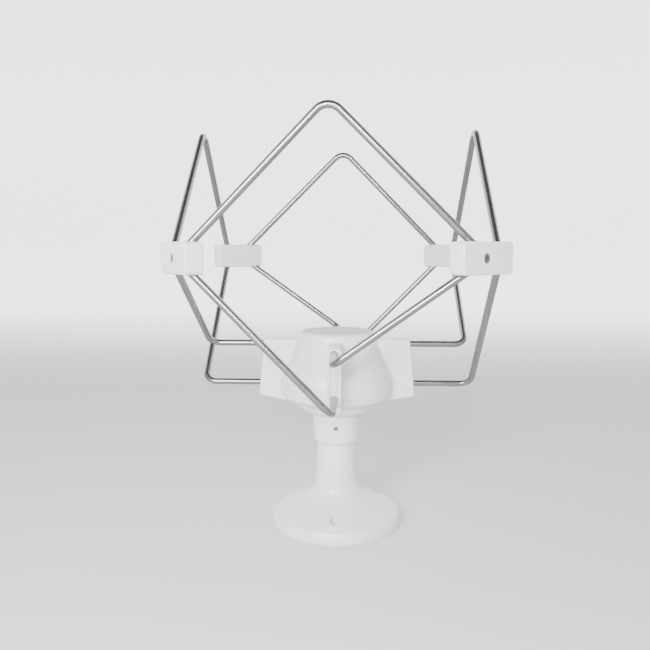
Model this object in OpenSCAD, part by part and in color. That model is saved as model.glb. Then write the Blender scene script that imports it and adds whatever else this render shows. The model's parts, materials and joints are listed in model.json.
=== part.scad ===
// Omnidirectional loop antenna on a table foot.
// Four bent aluminium rods form a square cage round a white plastic head.
// The foot's underside is z = 0, and the centre line is the Z axis. Front is -Y.

/* [Rods] */
// Diameter of the bent aluminium rods
rod_d = 5; // [4.6:0.1:5]
// Distance of each loop's plane from the centre line
loop_plane = 105; // [103:0.5:107]
// Height of the loops' side corners and of the four clips
corner_z = 215.2; // [212:0.2:219]
// Height of the loops' tops, before the bend is rounded
apex_z = 313.1; // [305:0.1:325]
// Reach of the corner whose leg runs to the lower terminal
left_reach = 99.1; // [98.5:0.1:99.5]
// Reach of the corner whose leg runs to the upper terminal
right_reach = 95.9; // [95.5:0.1:96.5]
// Sideways lean of the loops' tops
apex_shift = 3.2; // [0:0.1:5]
// Bend radius at the corners and the top, to the rod's centre
corner_bend = 10.5; // [10:0.5:11]
// Bend radius where the rod turns in to the head
terminal_bend = 9; // [7:0.5:10]
// Height of the lower rod ends
lower_z = 114.3; // [114:0.1:114.5]
// Height of the upper rod ends
upper_z = 146.1; // [145.9:0.1:146.2]

/* [Corner clips] */
// Length of a clip across its two rods
clip_l = 44.6; // [42:0.2:47]
// Thickness of a clip, both halves together
clip_t = 12.6; // [12.4:0.1:14]
// Height of a clip
clip_h = 20.8; // [19:0.1:24]
// Radius of a clip's outer edges
clip_edge = 1.5; // [1:0.5:4]
// Radius of the corners of a clip's faces
clip_corner = 3; // [1:0.5:4]

/* [Head] */
// Radius of the head's skirt
head_r = 44.2; // [43.8:0.1:44.6]
// Height of the head's flat top
head_top = 156.4; // [155.6:0.1:158]
// Height of the seam between cover and tray
seam_z = 109.3; // [109:0.1:109.5]
// Width of the four wings
wing_w = 9.8; // [9.4:0.1:11]
// Height of the wings' tops
wing_top = 150.7; // [150:0.1:151]
// Reach of a wing at the seam
wing_reach = 61.8; // [60:0.1:64]
// Wall thickness of the head
wall = 2; // [1.6:0.1:2.2]

/* [Pedestal] */
// Radius of the foot
foot_r = 52.6; // [51.5:0.1:54]
// Radius of the neck just below the head's collar
neck_r = 15.5; // [15.2:0.1:15.8]
// Radius of the circle that the three foot screws stand on
hole_circle_r = 40; // [38:0.5:41]
// Diameter of the foot's screw holes
foot_hole_d = 4.5; // [4:0.1:5]

/* [Socket] */
// Diameter of the aerial socket's thread
socket_thread_d = 9.52; // [9.4:0.01:9.6]
// Length of the thread that a plug screws on to
socket_thread_l = 9.4; // [8:0.1:10]

/* [Hidden] */
$fn = 64;
steps = 10;        // points along one curved stretch of an outline
slip = 0.1;        // gap on every side of a sliding or pushed-in fit
sides = ["front", "right", "back", "left"];
corners = ["front_right", "back_right", "back_left", "front_left"];
white = "whitesmoke";

rod_r = rod_d / 2;
rod_x = -0.5;      // the rod ends stand a little to one side of the wings' middle
rod_end_r = 18.5;  // where the rods stop inside their terminals
lower_out = 107;
upper_out = 102;
loop_path = [
    [rod_x, -rod_end_r, lower_z],
    [rod_x, -lower_out, lower_z],
    [-left_reach, -loop_plane, corner_z],
    [-apex_shift, -loop_plane, apex_z],
    [right_reach, -loop_plane, corner_z],
    [rod_x, -upper_out, upper_z],
    [rod_x, -rod_end_r, upper_z],
];
loop_bends = [0, terminal_bend, corner_bend, corner_bend, corner_bend, terminal_bend, 0];
left_corner = 2;   // places in loop_path
right_corner = 4;

clip_at = [96.2, -98.3, corner_z];
clip_turn = 36;
clip_slides = [-3.2, 0, 0, 0];   // how far each clip sits off centre along its length
clip_screw_x = -1.6;
clip_recess_r = 3.3;
clip_recess = 2.1;
screw_r = 1.4;
screw_hole_r = screw_r + slip / 2;

wing_end_top = 58.1;     // reach of a wing at its top
wing_corner = 2.3;
wing_wall = 1.6;
slot_w = rod_d + 2 * slip;
strip_t = 1.3;           // thickness of the strip's flange behind the wing's end wall
strip_sink = 0.4;        // the strip's face is this far in behind the wing's end
top_fillet = 4;
top_flat_r = 26.3;

collar_r = 18.9;
collar_bottom = 66.5;
collar_round = 3.5;
spigot_r = 14.1;
stem_bore_r = 12;
spigot_top = 87;
floor_z = 94;
floor_t = 2.7;
groove_z = 80.8;
groove_depth = 1.2;
groove_w = 5;
lock_screw_r = 1.6;

cover_screw_r = 35.5;    // distance of the cover's screws from the centre line
cover_screw_top = 119;
tray_seat = 104.4;       // where the cover's screw heads bear
gasket_w = 0.8;
gasket_h = 0.8;
gasket_inset = 0.5;

board_z = 100;
board_t = 1.6;
board_r = 27;
board_top = board_z + board_t;
standoff_r = 22;         // distance of the board's screws from the centre line
terminal_size = [7, 8, 8];
terminal_in = 17;        // inner face of the terminals
socket_shoulder_r = 5.2;
socket_shoulder_z = 88.4;
nut_h = 2.2;
washer_h = 0.7;

foot_seat = 10.5;        // where the foot's screw heads bear
foot_head_r = 4.3;
boss_r = 6.4;
rib_t = 1.8;

// Vector and outline helpers

function unit(v) = v / norm(v);
function turn(path, i) = acos(unit(path[i] - path[i - 1]) * unit(path[i + 1] - path[i]));
function setback(path, bends, i) = bends[i] == 0 ? 0 : bends[i] * tan(turn(path, i) / 2);

// Points of a cubic curve, without its last point
function curve(a, b, c, d) = [
    for (i = [0:steps - 1]) let (t = i / steps, s = 1 - t)
        a * s * s * s + b * 3 * s * s * t + c * 3 * s * t * t + d * t * t * t
];

// Points of an arc from angle a to angle b
function arc(centre, r, a, b) = [
    for (i = [0:steps]) let (t = a + (b - a) * i / steps) centre + r * [cos(t), sin(t)]
];

// v turned about an axis
function turned(v, axis, a) = v * cos(a) + cross(axis, v) * sin(a) + axis * (axis * v) * (1 - cos(a));

// The points of a bar's round section, which u and v span
function section(centre, u, v, r, n) = [
    for (j = [0:n - 1]) centre + r * (cos(360 * j / n) * u + sin(360 * j / n) * v)
];

// Sections round the bend at the path's point i, and round all that follows it
function bent_sections(path, bends, i, u, v, r, n) =
    i == len(path) - 1 ? [section(path[i], u, v, r, n)] : let (
        along = unit(path[i] - path[i - 1]),
        axis = unit(cross(along, path[i + 1] - path[i])),
        arm = cross(along, axis) * bends[i],
        centre = path[i] - along * setback(path, bends, i) - arm,
        angle = turn(path, i),
        last = n > 8 ? 8 : 3
    ) concat(
        [for (s = [0:last]) let (a = angle * s / last)
            section(centre + turned(arm, axis, a), turned(u, axis, a), turned(v, axis, a), r, n)],
        bent_sections(path, bends, i + 1, turned(u, axis, angle), turned(v, axis, angle), r, n)
    );

// A round bar along a path, with a bend radius for each of its points
module bent_bar(path, bends, r) {
    n = r > 1 ? 20 : 8;
    along = unit(path[1] - path[0]);
    u = unit(cross(along, path[2] - path[1]));
    v = cross(along, u);
    sections = concat(
        [section(path[0], u, v, r, n)],
        bent_sections(path, bends, 1, u, v, r, n)
    );
    top = (len(sections) - 1) * n;
    polyhedron(
        points = [for (s = sections) each s],
        faces = concat(
            [[for (j = [0:n - 1]) j]],
            [for (i = [0:n:top - 1], j = [0:n - 1]) [i + j, i + n + j, i + n + (j + 1) % n, i + (j + 1) % n]],
            [[for (j = [n - 1:-1:0]) top + j]]
        )
    );
}

module rounded_rect(w, h, r) {
    square([w - 2 * r, h], center = true);
    square([w, h - 2 * r], center = true);
    for (x = [-1, 1], y = [-1, 1]) {
        translate([x * (w / 2 - r), y * (h / 2 - r)]) circle(r);
    }
}

// A box with all its edges rounded
module soft_box(size, edge, face_corner) {
    intersection() {
        linear_extrude(size.z, center = true) rounded_rect(size.x, size.y, edge);
        rotate([90, 0, 0]) linear_extrude(size.y, center = true) rounded_rect(size.x, size.z, face_corner);
        rotate([90, 0, 90]) linear_extrude(size.x, center = true) rounded_rect(size.y, size.z, edge);
    }
}

// A box centred in X, from y near to y far on the front side, and from z low to z high
module front_block(w, near, far, low, high) {
    translate([rod_x - w / 2, -far, low]) cube([w, far - near, high - low]);
}

// Places children at each of the four diagonals
module on_diagonals(r) {
    for (k = [0:3]) {
        rotate(45 + 90 * k) translate([r, 0, 0]) children();
    }
}

// Rods

module element(k) {
    color("darkgray") rotate(90 * k) bent_bar(loop_path, loop_bends, rod_r);
}

// The stretch of a loop round one of its corners
module loop_corner(i, r) {
    reach = clip_l;
    b = loop_path[i];
    path = [b + unit(loop_path[i - 1] - b) * reach, b, b + unit(loop_path[i + 1] - b) * reach];
    bent_bar(path, [0, corner_bend, 0], r);
}

// Corner clips: the outward face looks along -Y in the clip's own frame

module clip_place(k) {
    rotate(90 * k) translate(clip_at) rotate(clip_turn) translate([clip_slides[k], 0, 0]) children();
}

module clip_half(k, out) {
    difference() {
        clip_place(k) intersection() {
            soft_box([clip_l, clip_t, clip_h], clip_edge, clip_corner);
            translate([0, -out * clip_t / 2, 0]) cube([clip_l, clip_t, clip_h], center = true);
        }
        rotate(90 * k) {
            loop_corner(right_corner, rod_r + slip / 2);
            rotate(90) loop_corner(left_corner, rod_r + slip / 2);
        }
        clip_place(k) clip_screw_hole();
    }
}

module clip_screw_hole() {
    translate([clip_screw_x, -clip_t / 2, 0]) rotate([-90, 0, 0]) {
        cylinder(h = clip_t - 2, r = screw_hole_r);
        translate([0, 0, -1]) cylinder(h = clip_recess + 1, r = clip_recess_r);
    }
}

module clip_outer(k) {
    color(white) clip_half(k, 1);
}

module clip_inner(k) {
    color(white) clip_half(k, -1);
}

// A pan-head screw with a cross recess, its head's seat at z = 0 and its shank upwards
module cross_screw(head_r, head_h, shank_r, shank_l) {
    difference() {
        union() {
            cylinder(h = shank_l, r = shank_r);
            translate([0, 0, -head_h]) cylinder(h = head_h, r = head_r);
        }
        for (a = [0, 90]) {
            rotate(a) translate([-head_r * 0.6, -0.4, -head_h - 1]) cube([head_r * 1.2, 0.8, 2]);
        }
    }
}

module clip_screw(k) {
    color("gray")
        clip_place(k)
            translate([clip_screw_x, -clip_t / 2 + clip_recess, 0])
                rotate([-90, 0, 0])
                    cross_screw(2.8, 1.6, screw_r, clip_t - clip_recess - 2.5);
}

// Head

// The head's half outline above the seam, set in by its wall where inset is not 0
function dome_outline(inset) = concat(
    [[0, seam_z], [head_r - inset, seam_z]],
    curve([head_r - inset, 114], [head_r - inset, 126 - inset], [31.4 - inset, 141 - inset],
        [30.24 - inset, 153.1 - inset]),
    arc([top_flat_r - inset, head_top - top_fillet - inset], top_fillet, 10, 90),
    [[0, head_top - inset]]
);

// A wing's side outline above the seam
function wing_outline(inset) = concat(
    [[20, seam_z], [wing_reach - inset, seam_z]],
    arc([wing_end_top - wing_corner - inset, wing_top - wing_corner - inset], wing_corner, 6, 90),
    [[20, wing_top - inset]]
);

module wing(points, w) {
    rotate([90, 0, 0]) linear_extrude(w, center = true) polygon(points);
}

module head_shape(inset, wing_inset) {
    rotate_extrude() polygon(dome_outline(inset));
    for (k = [0:3]) {
        rotate(90 * k) wing(wing_outline(wing_inset), wing_w - 2 * wing_inset);
    }
}

// The slot in the front wing's end, round-topped over the upper rod
module front_slot(w, near, far) {
    translate([rod_x, -near, 0]) rotate([90, 0, 0]) linear_extrude(far - near) {
        translate([-w / 2, seam_z - 1]) square([w, upper_z - seam_z + 1]);
        translate([0, upper_z]) circle(d = w);
    }
}

module head_cover() {
    color(white) difference() {
        union() {
            difference() {
                head_shape(0, 0);
                translate([0, 0, -0.01]) head_shape(wall, wing_wall);
            }
            intersection() {
                head_shape(0, 0);
                on_diagonals(cover_screw_r) translate([0, 0, seam_z]) cylinder(h = 16, r = 3.4);
            }
        }
        for (k = [0:3]) {
            rotate(90 * k) front_slot(slot_w, 45, wing_reach + 1);
        }
        on_diagonals(cover_screw_r) {
            translate([0, 0, seam_z - 1]) cylinder(h = cover_screw_top - seam_z + 2, r = screw_hole_r);
        }
    }
}

// The head's plan at the seam, set in on every side
module seam_plan(inset) {
    circle(head_r - inset);
    for (a = [0, 90]) {
        rotate(a) square([2 * (wing_reach - inset), wing_w - 2 * inset], center = true);
    }
}

module gasket_ring(grow) {
    linear_extrude(gasket_h + grow) difference() {
        seam_plan(gasket_inset - grow);
        seam_plan(gasket_inset + gasket_w + grow);
    }
}

module head_gasket() {
    color("dimgray") translate([0, 0, seam_z - gasket_h]) gasket_ring(0);
}

// The tray's half outline, from the seam down to the collar's mouth
tray_outline = concat(
    [[0, seam_z], [head_r, seam_z], [head_r, 105.5], [33, 98.8]],
    curve([33, 98.8], [30.6, 95], [27, 91.9], [collar_r + 1, 91]),
    arc([collar_r + 1, 90], 1, 90, 180),
    arc([collar_r - collar_round, collar_bottom + collar_round], collar_round, 0, -80),
    [[0, collar_bottom]]
);
tray_hollow = [
    [0, floor_z], [22.5, floor_z], [27.6, 96], [31.2, 100.6],
    [head_r - wall, 107.1], [head_r - wall, seam_z + 1], [0, seam_z + 1],
];
tray_wing = [[20, 96.5], [33, 99], [wing_reach + 0.2, 104.7], [wing_reach + 0.2, seam_z], [20, seam_z]];
tray_wing_hollow = [[20, 100], [33, 102.6], [wing_reach - wing_wall, 106.7],
    [wing_reach - wing_wall, seam_z + 1], [20, seam_z + 1]];

module tray_shell() {
    difference() {
        union() {
            rotate_extrude() polygon(tray_outline);
            for (k = [0:3]) {
                rotate(90 * k) wing(tray_wing, wing_w);
            }
        }
        rotate_extrude() polygon(tray_hollow);
        for (k = [0:3]) {
            rotate(90 * k) wing(tray_wing_hollow, wing_w - 2 * wing_wall);
        }
    }
}

// Screw bosses and board standoffs, kept inside the tray's outer shape
module tray_posts() {
    intersection() {
        rotate_extrude() polygon(tray_outline);
        on_diagonals(cover_screw_r) translate([0, 0, 90]) cylinder(h = seam_z - 90, r = 4.6);
    }
    on_diagonals(standoff_r) translate([0, 0, floor_z - 1]) cylinder(h = board_z - floor_z + 1, r = 2.6);
}

module head_tray() {
    color(white) difference() {
        union() {
            tray_shell();
            tray_posts();
        }
        translate([0, 0, collar_bottom - 1])
            cylinder(h = floor_z - floor_t - collar_bottom + 1, r = spigot_r + slip);
        translate([0, 0, floor_z - floor_t - 1]) cylinder(h = floor_t + 2, r = socket_shoulder_r + slip);
        on_diagonals(cover_screw_r) {
            translate([0, 0, 90]) cylinder(h = tray_seat - 90, r = 3.3);
            translate([0, 0, tray_seat - 1]) cylinder(h = seam_z - tray_seat + 2, r = screw_hole_r);
        }
        on_diagonals(standoff_r) translate([0, 0, floor_z + 0.5]) cylinder(h = 7, r = 1.05);
        translate([0, 0, groove_z]) rotate([90, 0, 0]) cylinder(h = collar_r + 1, r = lock_screw_r + slip);
        translate([0, 0, seam_z - gasket_h]) gasket_ring(0.05);
    }
}

module cover_screw(k) {
    color("gray")
        rotate(-45 + 90 * k)
            translate([cover_screw_r, 0, tray_seat])
                cross_screw(2.9, 1.8, screw_r, cover_screw_top - tray_seat);
}

// The lock screw: its tip stands in the spigot's groove
module lock_screw() {
    tip = spigot_r - groove_depth + 0.4;
    color("gray") translate([0, -tip, groove_z]) rotate([90, 0, 0]) difference() {
        cylinder(h = collar_r - 0.3 - tip, r = lock_screw_r);
        for (a = [0, 90]) {
            rotate(a) translate([-1, -0.25, collar_r - 1.3 - tip]) cube([2, 0.5, 2]);
        }
    }
}

// The strip that closes a wing's slot between and below its two rods
module slot_strip(k) {
    inner_w = wing_w - 2 * wing_wall - 2 * slip;
    color("gainsboro") rotate(90 * k) difference() {
        union() {
            rotate(-90) wing(strip_outline(wing_wall + slip, strip_t), inner_w);
            intersection() {
                front_slot(slot_w - 2 * slip, 45, wing_reach);
                rotate(-90) wing(strip_outline(strip_sink, wing_wall + slip), wing_w);
            }
        }
        for (z = [lower_z, upper_z]) {
            translate([rod_x, 0, z]) rotate([90, 0, 0]) cylinder(h = 80, r = rod_r + slip / 2);
        }
    }
}

// The strip's side outline: in behind the wing's leaning end by sink, and t thick
function strip_outline(sink, t) = let(
    lean = (wing_reach - wing_end_top) / (wing_top - wing_corner - wing_wall - seam_z),
    low = wing_reach - sink, high = low - lean * (upper_z - seam_z)
) [[low, seam_z], [high, upper_z], [high - t, upper_z], [low - t, seam_z]];

// Terminals inside the head

module terminal_post(k) {
    color(white) rotate(90 * k) difference() {
        union() {
            front_block(8, 14.5, 26, board_top, lower_z - terminal_size.z / 2);
            front_block(8, 14.5, terminal_in, board_top, upper_z + terminal_size.z / 2);
            front_block(8, 14.5, 26, 136, upper_z - terminal_size.z / 2);
        }
        front_block(3, 0, 20, board_top - 1, lower_z - terminal_size.z / 2 - 3);
    }
}

module terminal(k, z) {
    near = terminal_in;
    far = terminal_in + terminal_size.y;
    color("goldenrod") rotate(90 * k) difference() {
        front_block(terminal_size.x, near, far, z - terminal_size.z / 2, z + terminal_size.z / 2);
        translate([rod_x, -rod_end_r, z]) rotate([90, 0, 0]) cylinder(h = 20, r = rod_r + slip / 2);
        translate([rod_x, -(near + far) / 2, z]) cylinder(h = terminal_size.z, r = 1.3 + slip / 2);
    }
}

module terminal_screws() {
    seat = terminal_size.z / 2;
    color("gray") for (k = [0:3], z = [lower_z, upper_z]) {
        rotate(90 * k)
            translate([rod_x, -terminal_in - terminal_size.y / 2, z + seat])
                rotate([180, 0, 0])
                    cross_screw(2.4, 1.5, 1.3, seat - rod_r);
    }
}

// Two enamelled leads from a side's terminals down to the board
module feed_leads(k) {
    lead_y = -terminal_in - terminal_size.y / 2 - 1;
    color("peru") rotate(90 * k) {
        for (run = [[1, lower_z, 2.6], [-1, upper_z, 3.6]]) {
            from_x = rod_x + run[0] * terminal_size.x / 2;
            path = [[from_x, lead_y, run[1]], [from_x + run[0] * run[2], lead_y, run[1]],
                [from_x + run[0] * run[2], lead_y, board_top]];
            bent_bar(path, [0, 1.5, 0], 0.6);
        }
    }
}

module circuit_board() {
    color("seagreen") translate([0, 0, board_z]) difference() {
        cylinder(h = board_t, r = board_r);
        on_diagonals(standoff_r) translate([0, 0, -1]) cylinder(h = board_t + 2, r = 1.1);
    }
}

module board_screws() {
    color("gray")
        on_diagonals(standoff_r)
            translate([0, 0, board_top])
                rotate([180, 0, 0])
                    cross_screw(2, 1.3, 1, 6);
}

// A two-hole ferrite core, lying flat on the board
core_size = [14, 8, 7.5];
core_hole_x = 3.5;
core_hole_r = 2;
core_z = board_top + core_size.z / 2;

module balun_core() {
    color("dimgray") translate([0, 0, core_z]) difference() {
        rotate([90, 0, 0]) linear_extrude(core_size.y, center = true) rounded_rect(core_size.x, core_size.z, 3);
        for (x = [-core_hole_x, core_hole_x]) {
            translate([x, 0, 0]) rotate([90, 0, 0]) cylinder(h = 20, r = core_hole_r, center = true);
        }
    }
}

// Turns of wire through the core's two holes
module balun_winding() {
    half = core_size.y / 2 + 0.8;
    color("peru") for (i = [-1:1]) {
        z = core_z + i * 0.9;
        x = core_hole_x - abs(i) * 0.3;
        path = [[1, -half, z], [x, -half, z], [x, half, z], [-x, half, z], [-x, -half, z], [-1, -half, z]];
        bent_bar(path, [0, 0.7, 0.7, 0.7, 0.7, 0], 0.35);
    }
}

// Two disc capacitors and two small chokes
module board_parts() {
    for (s = [-1, 1]) {
        color("goldenrod") translate([s * 8, -11, board_top + 3.2])
            rotate([90, 0, 0]) cylinder(h = 2, r = 2.6, center = true);
        color("peru") translate([s * 8, -11, board_top]) cylinder(h = 1, r = 0.4);
        color("steelblue") translate([s * 7 - 3, 10, board_top + 1.4])
            rotate([0, 90, 0]) cylinder(h = 6, r = 1.4);
    }
}

// Aerial socket in the tray's floor, its thread pointing down into the stem

module f_socket() {
    color("silver") difference() {
        union() {
            translate([0, 0, floor_z]) cylinder(h = board_z - floor_z, r = 7, $fn = 6);
            translate([0, 0, socket_shoulder_z]) cylinder(h = floor_z - socket_shoulder_z, r = socket_shoulder_r);
            translate([0, 0, socket_shoulder_z - socket_thread_l])
                cylinder(h = socket_thread_l, d = socket_thread_d);
        }
        translate([0, 0, socket_shoulder_z - socket_thread_l - 1]) cylinder(h = 9, r = 0.7);
    }
}

module f_socket_washer() {
    color("silver") translate([0, 0, floor_z - floor_t - washer_h]) difference() {
        cylinder(h = washer_h, r = 9);
        translate([0, 0, -1]) cylinder(h = washer_h + 2, r = socket_shoulder_r + slip / 2);
    }
}

module f_socket_nut() {
    color("silver") translate([0, 0, floor_z - floor_t - washer_h - nut_h]) difference() {
        cylinder(h = nut_h, r = 8.1, $fn = 6);
        translate([0, 0, -1]) cylinder(h = nut_h + 2, r = socket_shoulder_r + slip / 2);
    }
}

// Pedestal

foot_slope_top = [17.6, 34];
foot_outline = concat(
    [[0, 0], [foot_r - 0.1, 0]],
    curve([foot_r, 2], [foot_r, 5.5], [foot_r - 1, 7.8], [foot_r - 2.6, 9.6]),
    curve([foot_r - 2.6, 9.6], [39, 18.6], [19, 18], foot_slope_top),
    [foot_slope_top, [16.7, 40], [neck_r + 0.2, 60.6], [neck_r - 0.3, 61.1], [neck_r - 0.3, 61.9]],
    [[neck_r + 0.1, 62.4], [neck_r, collar_bottom - slip], [spigot_r, collar_bottom - slip]],
    [[spigot_r, groove_z - groove_w / 2], [spigot_r - groove_depth, groove_z - groove_w / 2]],
    [[spigot_r - groove_depth, groove_z + groove_w / 2], [spigot_r, groove_z + groove_w / 2]],
    [[spigot_r, spigot_top - 0.8], [spigot_r - 0.8, spigot_top], [0, spigot_top]]
);
foot_hollow = concat(
    [[0, -1], [foot_r - 2.5, -1], [foot_r - 2.5, 4.5]],
    curve([foot_r - 4.6, 7.6], [37.5, 16], [16.6, 15.4], [15, 34]),
    [[15, 34], [stem_bore_r, 58]],
    [[stem_bore_r - 0.6, 76], [stem_bore_r - 0.6, spigot_top + 1], [0, spigot_top + 1]]
);

module foot_solid() {
    rotate_extrude() polygon(foot_outline);
}

module on_foot_holes() {
    for (k = [0:2]) {
        rotate(-90 + 120 * k) translate([hole_circle_r, 0, 0]) children();
    }
}

module pedestal() {
    color(white) difference() {
        union() {
            difference() {
                foot_solid();
                rotate_extrude() polygon(foot_hollow);
            }
            intersection() {
                foot_solid();
                union() {
                    on_foot_holes() cylinder(h = 20, r = boss_r);
                    for (k = [0:2]) {
                        rotate(-30 + 120 * k) translate([16, -rib_t / 2, 3]) cube([foot_r - 18, rib_t, 30]);
                    }
                }
            }
        }
        on_foot_holes() {
            translate([0, 0, -1]) cylinder(h = foot_seat + 2, d = foot_hole_d);
            translate([0, 0, foot_seat]) cylinder(h = 10, r = foot_head_r);
        }
    }
}

pedestal();
head_tray();
head_cover();
head_gasket();
lock_screw();
terminal_screws();
circuit_board();
board_screws();
balun_core();
balun_winding();
board_parts();
f_socket();
f_socket_nut();
f_socket_washer();
for (k = [0:3]) {
    element(k);
    clip_outer(k);
    clip_inner(k);
    clip_screw(k);
    cover_screw(k);
    slot_strip(k);
    terminal_post(k);
    terminal(k, lower_z);
    terminal(k, upper_z);
    feed_leads(k);
}
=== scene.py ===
import json
from math import atan2, cos, hypot, pi, radians, sin, sqrt
import bmesh
import bpy
from mathutils import Matrix, Vector


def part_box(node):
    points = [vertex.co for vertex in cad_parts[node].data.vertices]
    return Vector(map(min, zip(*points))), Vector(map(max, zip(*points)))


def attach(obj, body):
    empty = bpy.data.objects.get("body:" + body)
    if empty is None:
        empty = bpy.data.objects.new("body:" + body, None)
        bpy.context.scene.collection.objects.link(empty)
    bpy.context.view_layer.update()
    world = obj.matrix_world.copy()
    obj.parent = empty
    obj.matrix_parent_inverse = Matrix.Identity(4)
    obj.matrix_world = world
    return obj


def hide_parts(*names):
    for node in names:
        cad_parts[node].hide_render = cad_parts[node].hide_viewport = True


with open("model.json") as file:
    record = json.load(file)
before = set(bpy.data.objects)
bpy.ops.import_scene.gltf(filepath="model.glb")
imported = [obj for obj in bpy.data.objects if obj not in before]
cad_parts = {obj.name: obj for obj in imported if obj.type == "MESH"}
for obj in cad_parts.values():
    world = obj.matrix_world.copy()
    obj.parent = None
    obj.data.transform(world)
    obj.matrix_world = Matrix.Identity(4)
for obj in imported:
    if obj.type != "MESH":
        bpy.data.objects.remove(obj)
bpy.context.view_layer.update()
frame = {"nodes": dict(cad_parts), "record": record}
print("frame loaded:", len(frame["nodes"]), "nodes")

mm = 0.001
sides = ["front", "right", "back", "left"]
corners = ["front_right", "back_right", "back_left", "front_left"]
quarter = pi / 2


# shared mesh helpers

def arc(centre, radius, start, end, count):  # angles in degrees, both ends included
    turns = [radians(start + (end - start) * i / count) for i in range(count + 1)]
    return [(centre[0] + radius * cos(t), centre[1] + radius * sin(t)) for t in turns]


def curve(a, b, c, d, count):  # cubic curve, both ends included
    points = []
    for i in range(count + 1):
        t = i / count
        s = 1 - t
        weights = (s ** 3, 3 * s * s * t, 3 * s * t * t, t ** 3)
        points.append(tuple(sum(w * p[n] for w, p in zip(weights, (a, b, c, d))) for n in (0, 1)))
    return points


def heightAlong(points, value, lookUp=1, give=0):  # reads an outline at one height
    for p, q in zip(points, points[1:]):
        low, high = sorted((p[lookUp], q[lookUp]))
        if low <= value <= high and high > low:
            t = (value - p[lookUp]) / (q[lookUp] - p[lookUp])
            return p[give] + (q[give] - p[give]) * t
    return min(points, key=lambda p: abs(p[lookUp] - value))[give]


def lathe(profile, steps):  # turns a closed outline of (radius, height) in mm about the Z axis
    bm = bmesh.new()
    rim = [bm.verts.new((r * mm, 0, z * mm)) for r, z in profile]
    edges = [bm.edges.new(pair) for pair in zip(rim, rim[1:] + rim[:1])]
    bmesh.ops.spin(bm, geom=rim + edges, cent=(0, 0, 0), axis=(0, 0, 1), angle=2 * pi, steps=steps,
                   use_merge=True)
    bmesh.ops.remove_doubles(bm, verts=bm.verts, dist=1e-7)
    bmesh.ops.recalc_face_normals(bm, faces=bm.faces)
    return bm


def vertsOf(geom):
    return [g for g in geom if isinstance(g, bmesh.types.BMVert)]


def edgesOf(geom):
    return [g for g in geom if isinstance(g, bmesh.types.BMEdge)]


def turnMesh(bm, angle):  # about the centre line
    bmesh.ops.rotate(bm, verts=bm.verts, cent=(0, 0, 0), matrix=Matrix.Rotation(angle, 3, "Z"))


def soften(bm, edges, offset, segments):  # rounds edges by an offset in mm
    bmesh.ops.bevel(bm, geom=edges, offset=offset * mm, offset_type="OFFSET", segments=segments,
                    profile=0.5, affect="EDGES", material=-1)


def block(size=(1000, 1000, 1000)):  # a box about the origin, size in mm
    bm = bmesh.new()
    bmesh.ops.create_cube(bm, size=1)
    bmesh.ops.scale(bm, verts=bm.verts, vec=Vector(size) * mm)
    return bm


def outwards(angle, radius):  # a place in mm on a circle about the centre line
    return Vector((cos(angle), sin(angle), 0)) * radius


def above(place, height):  # a place in mm, moved up, in metres
    return (place + Vector((0, 0, height))) * mm


def extrudeRing(bm, ring, places):  # extrudes a closed ring of vertices and puts the new one at places
    edges = [bm.edges.get(pair) for pair in zip(ring, ring[1:] + ring[:1])]
    made = bmesh.ops.extrude_edge_only(bm, edges=edges)["geom"]
    fresh = set(vertsOf(made))
    new = [next(e.other_vert(v) for e in v.link_edges if e.other_vert(v) in fresh) for v in ring]
    for v, place in zip(new, places):
        v.co = place
    return new


def loft(rings):  # skins a list of rings that have the same number of points
    bm = bmesh.new()
    ring = [bm.verts.new(place) for place in rings[0]]
    for pair in zip(ring, ring[1:] + ring[:1]):
        bm.edges.new(pair)
    for places in rings[1:]:
        ring = extrudeRing(bm, ring, places)
    return bm, ring


def rod(start, end, radius, segments=48):  # a plain closed cylinder between two points in metres
    bm = bmesh.new()
    along = end - start
    place = Matrix.Translation((start + end) / 2) @ along.to_track_quat("Z", "Y").to_matrix().to_4x4()
    bmesh.ops.create_cone(bm, cap_ends=True, segments=segments, radius1=radius, radius2=radius,
                          depth=along.length, matrix=place)
    return bm


def bentTube(path, bends, radius, around=32, steps=14):  # a round bar along a path, with spun bends
    bm = bmesh.new()
    along = (path[1] - path[0]).normalized()
    place = Matrix.Translation(path[0]) @ along.to_track_quat("Z", "Y").to_matrix().to_4x4()
    bmesh.ops.create_circle(bm, segments=around, radius=radius, cap_ends=False, matrix=place)
    end = bm.verts[:] + bm.edges[:]
    at = path[0]
    for i in range(1, len(path)):
        last = i == len(path) - 1
        along = (path[i] - path[i - 1]).normalized()
        after = along if last else (path[i + 1] - path[i]).normalized()
        angle = along.angle(after)
        setback = 0 if last else bends[i] * sin(angle / 2) / cos(angle / 2)
        stop = path[i] - along * setback
        end = rimOnly(bmesh.ops.extrude_edge_only(bm, edges=edgesOf(end))["geom"])
        bmesh.ops.translate(bm, verts=vertsOf(end), vec=stop - at)
        at = stop
        if not last:
            axis = along.cross(after).normalized()
            arm = axis.cross(along) * bends[i]
            end = bmesh.ops.spin(bm, geom=end, cent=stop + arm, axis=axis, angle=angle,
                                 steps=steps)["geom_last"]
            at = path[i] + after * setback
    bmesh.ops.holes_fill(bm, edges=bm.edges, sides=0)
    bmesh.ops.recalc_face_normals(bm, faces=bm.faces)
    return bm


def rimOnly(geom):  # keeps an extruded ring's vertices and the edges between them
    verts = vertsOf(geom)
    known = set(verts)
    return verts + [e for e in edgesOf(geom) if set(e.verts) <= known]


def toObject(bm, name):
    mesh = bpy.data.meshes.new(name)
    bm.to_mesh(mesh)
    bm.free()
    piece = bpy.data.objects.new(name, mesh)
    bpy.context.scene.collection.objects.link(piece)
    return piece


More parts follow.
